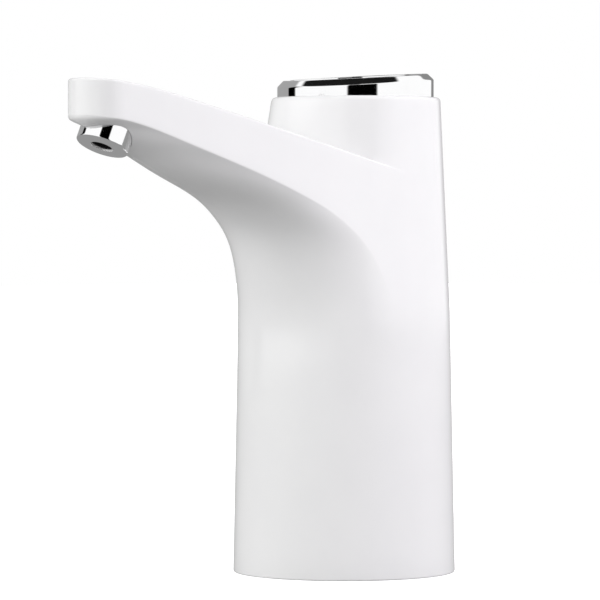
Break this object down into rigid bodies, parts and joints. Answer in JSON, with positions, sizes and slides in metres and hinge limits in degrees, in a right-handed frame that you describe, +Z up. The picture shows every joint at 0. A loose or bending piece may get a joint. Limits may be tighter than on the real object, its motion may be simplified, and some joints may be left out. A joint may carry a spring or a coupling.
{
  "type": "electric water jug pump",
  "caption": "Tapering white column with a sweeping spout and chrome nozzle, a sloping chrome-ringed black push button on top and a neck recess below.",
  "frame": {"origin": "on the column's axis, at the level of the face the pump stands on", "axes": "+Z up the column, -X along the spout toward the nozzle, Y across the spout"},
  "size_m": [0.1505, 0.072, 0.1621],
  "materials": {
    "shell_white": "gloss moulded ABS",
    "chrome_trim": "bright chrome plating",
    "button_black": "gloss black",
    "inner_plastic": "plain moulded",
    "dark_plastic": "plain moulded",
    "gear_plastic": "acetal",
    "seal_rubber": "matt silicone",
    "hose_silicone": "clear silicone",
    "steel": "zinc plated",
    "cell_wrap": "blue film over a metal can",
    "board_laminate": "solder mask",
    "lead_sheath": "wire insulation",
    "lamp_clear": "frosted clear lens"
  },
  "bodies": {
    "housing": {"body_shell": "shell_white", "spout_cover": "shell_white", "trim_ring": "chrome_trim", "nozzle_sleeve": "chrome_trim", "base_cover": "inner_plastic", "inlet_barb": "inner_plastic", "motor_deck": "inner_plastic", "nozzle_elbow": "inner_plastic", "board_tray": "inner_plastic", "button_guide": "inner_plastic", "pump_cover": "dark_plastic", "pump_housing": "dark_plastic", "motor_end_cap": "dark_plastic", "press_switch": "dark_plastic", "neck_seal": "seal_rubber", "inlet_seal": "seal_rubber", "pump_gasket": "seal_rubber", "shaft_seal": "seal_rubber", "cell_pad": "seal_rubber", "nozzle_seal": "seal_rubber", "outlet_hose": "hose_silicone", "motor_can": "steel", "idler_pin": "steel", "charge_socket": "steel", "button_spring": "steel", "base_screw_1": "steel", "base_screw_2": "steel", "base_screw_3": "steel", "deck_screw_1": "steel", "deck_screw_2": "steel", "deck_screw_3": "steel", "tray_screw_1": "steel", "tray_screw_2": "steel", "tray_screw_3": "steel", "pump_screw_1": "steel", "pump_screw_2": "steel", "pump_screw_3": "steel", "motor_screw_1": "steel", "motor_screw_2": "steel", "battery_cell": "cell_wrap", "control_board": "board_laminate", "socket_board": "board_laminate", "battery_lead": "lead_sheath", "motor_lead": "lead_sheath", "socket_lead": "lead_sheath", "lamp_lens": "lamp_clear"},
    "button": {"push_button": "button_black"},
    "plunger": {"switch_plunger": "button_black"},
    "drive": {"drive_gear": "gear_plastic", "motor_rotor": "steel"},
    "driven": {"driven_gear": "gear_plastic"}
  },
  "joints": [
    {"name": "button_press", "type": "slide", "parent": "housing", "child": "button", "axis": [0, 0, -1], "range_m": [0, 0.001], "stiffness_N_per_m": 800, "springref_m": -0.002, "deforming": ["button_spring"]},
    {"name": "plunger_press", "type": "slide", "parent": "housing", "child": "plunger", "axis": [0, 0, -1], "range_m": [0, 0.0003]},
    {"name": "drive_spin", "type": "hinge", "parent": "housing", "child": "drive", "pos_m": [-0.007, -0.006, 0.036], "axis": [0, 0, 1], "continuous": true},
    {"name": "driven_spin", "type": "hinge", "parent": "housing", "child": "driven", "pos_m": [-0.007, 0.006, 0.036], "axis": [0, 0, 1], "continuous": true}
  ],
  "couplings": [
    {"joint": "plunger_press", "follows": "button_press", "ratio": 0.25},
    {"joint": "driven_spin", "follows": "drive_spin", "ratio": -1}
  ]
}
